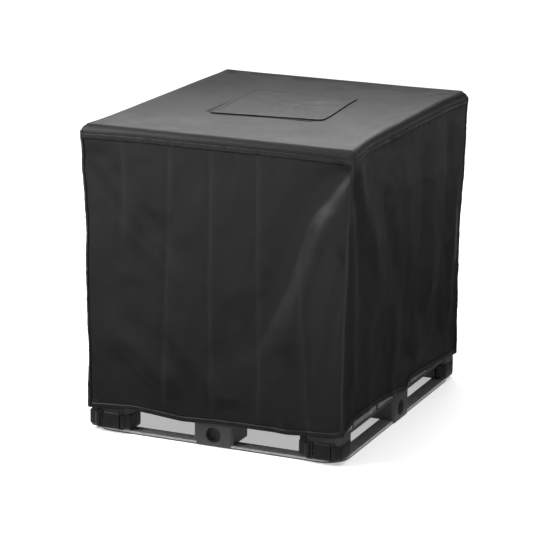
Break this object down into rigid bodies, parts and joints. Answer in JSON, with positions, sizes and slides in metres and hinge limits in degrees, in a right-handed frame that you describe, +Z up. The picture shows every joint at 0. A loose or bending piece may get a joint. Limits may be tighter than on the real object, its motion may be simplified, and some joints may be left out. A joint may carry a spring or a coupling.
{
  "type": "intermediate bulk container",
  "caption": "Upright liquid container: plastic bottle in a tubular cage on a four-way pallet, under a fabric cover belted round the corner feet.",
  "frame": {"origin": "centre of the footprint, on the floor", "axes": "+Z up, +Y from the outlet side to the back, +X to the right as seen from the outlet side"},
  "size_m": [1.02, 1.234, 1.1563],
  "materials": {
    "galvanised_steel": "satin, spangled zinc",
    "zinc_plated_steel": "satin",
    "pallet_plastic": "matte",
    "bottle_plastic": "translucent satin",
    "cap_plastic": "matte",
    "valve_plastic": "satin",
    "handle_plastic": "satin",
    "seal_rubber": "matte",
    "cover_fabric": "coated woven cloth",
    "tape_fabric": "napped",
    "webbing": "ribbed",
    "buckle_plastic": "satin"
  },
  "bodies": {
    "container": {"bottom_skid": "galvanised_steel", "deck_tray": "galvanised_steel", "cage_front": "galvanised_steel", "cage_back": "galvanised_steel", "cage_left": "galvanised_steel", "cage_right": "galvanised_steel", "crossbar_front": "galvanised_steel", "crossbar_back": "galvanised_steel", "cage_clamps": "galvanised_steel", "label_plate": "galvanised_steel", "pallet_screws": "zinc_plated_steel", "crossbar_bolts": "zinc_plated_steel", "foot_front_left": "pallet_plastic", "foot_front_right": "pallet_plastic", "foot_back_left": "pallet_plastic", "foot_back_right": "pallet_plastic", "foot_front_middle": "pallet_plastic", "foot_back_middle": "pallet_plastic", "foot_left_middle": "pallet_plastic", "foot_right_middle": "pallet_plastic", "foot_centre": "pallet_plastic", "deck_frame": "pallet_plastic", "bottle": "bottle_plastic", "valve_nut": "cap_plastic", "valve_body": "valve_plastic", "valve_gasket": "seal_rubber", "strap_front_left": "webbing", "buckle_plug_front_left": "buckle_plastic", "buckle_socket_front_left": "buckle_plastic", "strap_front_right": "webbing", "buckle_plug_front_right": "buckle_plastic", "buckle_socket_front_right": "buckle_plastic", "strap_back_right": "webbing", "buckle_plug_back_right": "buckle_plastic", "buckle_socket_back_right": "buckle_plastic", "strap_back_left": "webbing", "buckle_plug_back_left": "buckle_plastic", "buckle_socket_back_left": "buckle_plastic"},
    "cover": {"cover_top": "cover_fabric", "cover_front": "cover_fabric", "cover_back": "cover_fabric", "cover_left": "cover_fabric", "cover_right": "cover_fabric", "loop_tape": "tape_fabric"},
    "flap": {"cover_flap": "cover_fabric", "hook_tape": "tape_fabric"},
    "fill_cap_seal": {"fill_cap_gasket": "seal_rubber"},
    "fill_cap": {"fill_cap": "cap_plastic"},
    "valve_stem": {"valve_disc": "valve_plastic", "valve_handle": "handle_plastic"},
    "dust_cap_seal": {"dust_cap_gasket": "seal_rubber"},
    "dust_cap": {"dust_cap": "cap_plastic"},
    "prong_upper_front_left": {"buckle_prong_upper_front_left": "buckle_plastic"},
    "prong_lower_front_left": {"buckle_prong_lower_front_left": "buckle_plastic"},
    "prong_upper_front_right": {"buckle_prong_upper_front_right": "buckle_plastic"},
    "prong_lower_front_right": {"buckle_prong_lower_front_right": "buckle_plastic"},
    "prong_upper_back_right": {"buckle_prong_upper_back_right": "buckle_plastic"},
    "prong_lower_back_right": {"buckle_prong_lower_back_right": "buckle_plastic"},
    "prong_upper_back_left": {"buckle_prong_upper_back_left": "buckle_plastic"},
    "prong_lower_back_left": {"buckle_prong_lower_back_left": "buckle_plastic"}
  },
  "joints": [
    {"name": "cover_lift", "type": "slide", "parent": "container", "child": "cover", "axis": [0, 0, 1], "range_m": [0, 1.25]},
    {"name": "flap_fold", "type": "hinge", "parent": "cover", "child": "flap", "pos_m": [0, 0.2325, 1.1565], "axis": [-1, 0, 0], "range_deg": [0, 172]},
    {"name": "fill_cap_rise", "type": "slide", "parent": "container", "child": "fill_cap_seal", "axis": [0, 0, 1], "range_m": [0, 0.01401]},
    {"name": "fill_cap_turn", "type": "hinge", "parent": "fill_cap_seal", "child": "fill_cap", "pos_m": [0, 0, 1.12], "axis": [0, 0, 1], "range_deg": [0, 720]},
    {"name": "valve_turn", "type": "hinge", "parent": "container", "child": "valve_stem", "pos_m": [0, -0.517, 0.25], "axis": [0, 0, -1], "range_deg": [0, 90]},
    {"name": "dust_cap_draw", "type": "slide", "parent": "container", "child": "dust_cap_seal", "axis": [0, -1, 0], "range_m": [0, 0.00901]},
    {"name": "dust_cap_turn", "type": "hinge", "parent": "dust_cap_seal", "child": "dust_cap", "pos_m": [0, -0.565, 0.195], "axis": [0, -1, 0], "range_deg": [0, 540]},
    {"name": "prong_upper_front_left_squeeze", "type": "hinge", "parent": "container", "child": "prong_upper_front_left", "pos_m": [-0.4375, -0.61, 0.065], "axis": [0, 1, 0], "range_deg": [0, 5], "stiffness_Nm_per_rad": 2, "springref_deg": -1.15},
    {"name": "prong_lower_front_left_squeeze", "type": "hinge", "parent": "container", "child": "prong_lower_front_left", "pos_m": [-0.4375, -0.61, 0.031], "axis": [0, -1, 0], "range_deg": [0, 5], "stiffness_Nm_per_rad": 2, "springref_deg": -1.15},
    {"name": "prong_upper_front_right_squeeze", "type": "hinge", "parent": "container", "child": "prong_upper_front_right", "pos_m": [0.3975, -0.61, 0.065], "axis": [0, 1, 0], "range_deg": [0, 5], "stiffness_Nm_per_rad": 2, "springref_deg": -1.15},
    {"name": "prong_lower_front_right_squeeze", "type": "hinge", "parent": "container", "child": "prong_lower_front_right", "pos_m": [0.3975, -0.61, 0.031], "axis": [0, -1, 0], "range_deg": [0, 5], "stiffness_Nm_per_rad": 2, "springref_deg": -1.15},
    {"name": "prong_upper_back_right_squeeze", "type": "hinge", "parent": "container", "child": "prong_upper_back_right", "pos_m": [0.3975, 0.485, 0.065], "axis": [0, 1, 0], "range_deg": [0, 5], "stiffness_Nm_per_rad": 2, "springref_deg": -1.15},
    {"name": "prong_lower_back_right_squeeze", "type": "hinge", "parent": "container", "child": "prong_lower_back_right", "pos_m": [0.3975, 0.485, 0.031], "axis": [0, -1, 0], "range_deg": [0, 5], "stiffness_Nm_per_rad": 2, "springref_deg": -1.15},
    {"name": "prong_upper_back_left_squeeze", "type": "hinge", "parent": "container", "child": "prong_upper_back_left", "pos_m": [-0.3975, 0.61, 0.065], "axis": [0, -1, 0], "range_deg": [0, 5], "stiffness_Nm_per_rad": 2, "springref_deg": -1.15},
    {"name": "prong_lower_back_left_squeeze", "type": "hinge", "parent": "container", "child": "prong_lower_back_left", "pos_m": [-0.3975, 0.61, 0.031], "axis": [0, 1, 0], "range_deg": [0, 5], "stiffness_Nm_per_rad": 2, "springref_deg": -1.15}
  ],
  "couplings": [
    {"joint": "fill_cap_rise", "follows": "fill_cap_turn", "m_per_rad": 0.0011141},
    {"joint": "dust_cap_draw", "follows": "dust_cap_turn", "m_per_rad": 0.00095493}
  ]
}
